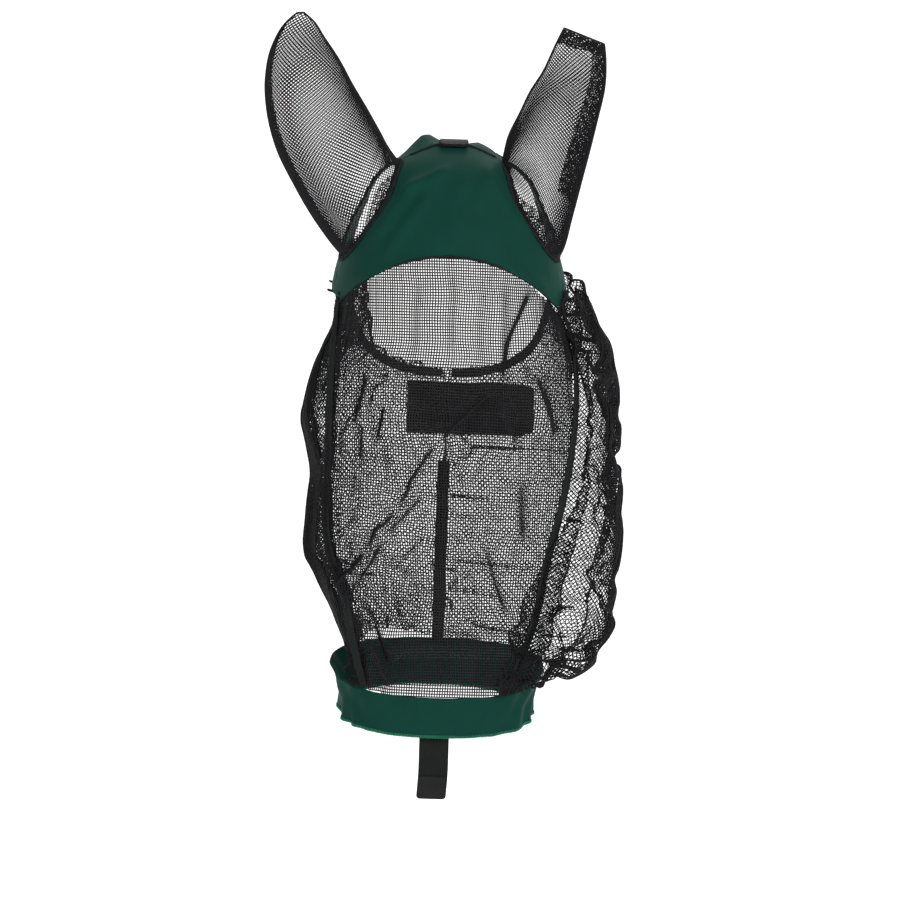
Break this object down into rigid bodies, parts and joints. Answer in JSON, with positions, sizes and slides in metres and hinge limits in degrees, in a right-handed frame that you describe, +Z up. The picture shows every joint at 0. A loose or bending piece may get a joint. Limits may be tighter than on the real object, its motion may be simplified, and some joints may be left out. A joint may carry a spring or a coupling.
{
  "type": "horse fly mask",
  "caption": "Horse's fly mask with ears, worn and closed: square net over the face, soft knitted net cheeks, stretch jersey brow and nose band, net ears and hook-and-loop straps.",
  "frame": {"origin": "on the centre line under the crown, where the horse's poll carries the mask", "axes": "+Z up along the upright head, -Y the way the face looks, +X the viewer's right when the mask is seen from the front"},
  "size_m": [0.2971, 0.256, 0.6743],
  "materials": {
    "jersey": "smooth stretch jersey, slight sheen",
    "net": "square polyester net, 2.3 mm holes",
    "ear_net": "square polyester net, 2.2 mm holes",
    "soft_net": "soft warp-knitted net, 2 mm holes",
    "binding": "matt woven binding tape",
    "elastic": "folded elastic binding",
    "hem_thread": "overlocked thread edge",
    "webbing": "matt woven tape",
    "hook_tape": "hook tape",
    "loop_tape": "napped loop tape"
  },
  "bodies": {
    "mask": {"brow_panel": "jersey", "poll_panel": "jersey", "face_panel": "net", "cheek_left": "soft_net", "cheek_right": "soft_net", "nose_band": "jersey", "nose_band_hem": "hem_thread", "face_tape_left": "binding", "face_tape_right": "binding", "brow_seam": "binding", "crown_seam": "binding", "neck_binding": "elastic", "jaw_tape": "binding", "ear_left_base": "ear_net", "ear_left_seam": "binding", "ear_right_base": "ear_net", "ear_right_seam": "binding", "nose_strap_anchor": "webbing", "poll_strap_anchor": "webbing", "throat_tab_base": "webbing", "throat_loop": "loop_tape"},
    "ear_left": {"ear_left_front": "ear_net", "ear_left_back": "ear_net", "ear_left_edge": "binding"},
    "ear_right": {"ear_right_front": "ear_net", "ear_right_back": "ear_net", "ear_right_edge": "binding"},
    "nose_strap": {"nose_strap": "webbing", "nose_strap_hook": "hook_tape"},
    "poll_strap": {"poll_strap": "webbing", "poll_strap_hook": "hook_tape"},
    "throat_tab": {"throat_tab": "webbing", "throat_tab_hook": "hook_tape"}
  },
  "joints": [
    {"name": "ear_left_tilt", "type": "hinge", "parent": "mask", "child": "ear_left", "pos_m": [-0.082, 0.0094, -0.0357], "axis": [-0.5446, 0, -0.8387], "range_deg": [0, 35], "stiffness_Nm_per_rad": 0.03},
    {"name": "ear_right_tilt", "type": "hinge", "parent": "mask", "child": "ear_right", "pos_m": [0.0777, 0.0084, -0.0257], "axis": [-0.6018, 0, 0.7986], "range_deg": [0, 35], "stiffness_Nm_per_rad": 0.03},
    {"name": "nose_strap_fold", "type": "hinge", "parent": "mask", "child": "nose_strap", "pos_m": [0, -0.0967, -0.5113], "axis": [-1, 0, 0], "range_deg": [0, 140]},
    {"name": "poll_strap_lift", "type": "hinge", "parent": "mask", "child": "poll_strap", "pos_m": [0, 0.0039, 0.0055], "axis": [-1, 0, 0], "range_deg": [0, 150]},
    {"name": "throat_tab_open", "type": "hinge", "parent": "mask", "child": "throat_tab", "pos_m": [-0.01985, 0.14493, -0.222], "axis": [0, 0.2534, 0.9674], "range_deg": [0, 130]}
  ]
}
